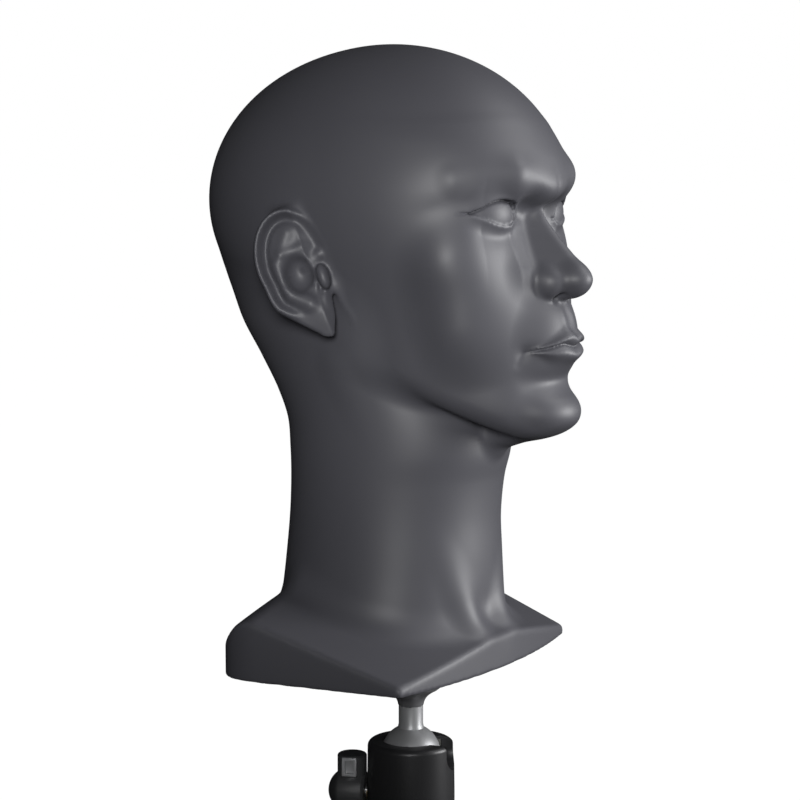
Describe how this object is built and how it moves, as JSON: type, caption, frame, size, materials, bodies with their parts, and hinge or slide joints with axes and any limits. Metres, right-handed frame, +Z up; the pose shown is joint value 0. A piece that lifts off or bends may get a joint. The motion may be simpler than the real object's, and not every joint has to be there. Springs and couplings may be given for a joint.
{
  "type": "display mannequin head on ball head mount",
  "caption": "Charcoal moulded display mannequin head with neck and cut collar, screwed to a ball head with drop notch, lock knob, pan lock and tripod seat.",
  "frame": {"origin": "middle of the whole part's outline, on the plane of the tripod seat; the pan axis is 7 mm in front of it, towards -Y", "axes": "+Z up along the pan axis and the neck, the face looks towards -Y, +X is the head's left"},
  "size_m": [0.211, 0.2399, 0.459],
  "materials": {
    "charcoal_plastic": "satin moulded plastic, charcoal black",
    "black_aluminium": "black satin powder coat",
    "grey_aluminium": "dark grey anodised",
    "aluminium": "machined",
    "satin_steel": "satin",
    "steel": "zinc plated",
    "brass": "machined",
    "black_plastic": "black moulded plastic",
    "white_nylon": "natural nylon",
    "rubber": "black rubber",
    "grey_board": "grey moulded board"
  },
  "bodies": {
    "base": {"pan_base": "black_aluminium", "tripod_bushing": "brass", "retaining_washer": "steel", "spring_washer": "steel", "retaining_bolt": "steel"},
    "housing_body": {"housing": "black_aluminium", "housing_floor": "aluminium", "pan_bearing_ring": "white_nylon", "upper_ball_ring": "white_nylon", "lock_bushing": "brass"},
    "cup_body": {"ball_cup": "white_nylon"},
    "plunger_body": {"lock_plunger": "steel"},
    "lock_knob_body": {"lock_screw": "steel", "lock_knob": "black_plastic", "knob_inlay": "satin_steel"},
    "pan_pin_body": {"pan_lock_pin": "white_nylon"},
    "pan_knob_body": {"pan_lock_screw": "steel", "pan_lock_knob": "black_plastic"},
    "ball_body": {"ball_stem": "satin_steel", "platform": "grey_aluminium", "platform_pad": "rubber", "mount_stud": "steel"},
    "head_body": {"head_shell": "charcoal_plastic", "bust_floor": "grey_board", "thread_socket": "steel", "socket_screw_1": "steel", "socket_screw_2": "steel", "socket_screw_3": "steel", "socket_screw_4": "steel", "floor_screw_1": "steel", "floor_screw_2": "steel", "floor_screw_3": "steel", "floor_screw_4": "steel", "floor_block_1": "grey_board", "floor_block_2": "grey_board", "floor_block_3": "grey_board", "floor_block_4": "grey_board"}
  },
  "joints": [
    {"name": "pan", "type": "hinge", "parent": "base", "child": "housing_body", "pos_m": [0, -0.007, 0.012], "axis": [0, 0, 1], "continuous": true},
    {"name": "ball_tilt", "type": "hinge", "parent": "housing_body", "child": "ball_body", "pos_m": [0, -0.007, 0.052], "axis": [0.9397, 0.342, 0], "range_deg": [-30, 90]},
    {"name": "head_turn", "type": "hinge", "parent": "ball_body", "child": "head_body", "pos_m": [0, -0.007, 0.111], "axis": [0, 0, 1], "continuous": true},
    {"name": "plunger_slide", "type": "slide", "parent": "housing_body", "child": "plunger_body", "axis": [0.342, -0.9397, 0], "range_m": [-0.0015, 0]},
    {"name": "lock_knob_turn", "type": "hinge", "parent": "plunger_body", "child": "lock_knob_body", "pos_m": [0, -0.007, 0.028], "axis": [0.342, -0.9397, 0], "range_deg": [-360, 0]},
    {"name": "cup_slide", "type": "slide", "parent": "housing_body", "child": "cup_body", "axis": [0, 0, 1], "range_m": [-0.00075, 0]},
    {"name": "pan_pin_slide", "type": "slide", "parent": "housing_body", "child": "pan_pin_body", "axis": [-0.9397, -0.342, 0], "range_m": [-0.001, 0]},
    {"name": "pan_knob_turn", "type": "hinge", "parent": "pan_pin_body", "child": "pan_knob_body", "pos_m": [0, -0.007, 0.013], "axis": [-0.9397, -0.342, 0], "range_deg": [-360, 0]}
  ],
  "couplings": [
    {"joint": "lock_knob_turn", "follows": "plunger_slide", "rad_per_m": 4188.8},
    {"joint": "cup_slide", "follows": "plunger_slide", "ratio": 0.5},
    {"joint": "pan_knob_turn", "follows": "pan_pin_slide", "rad_per_m": 6283.2}
  ]
}
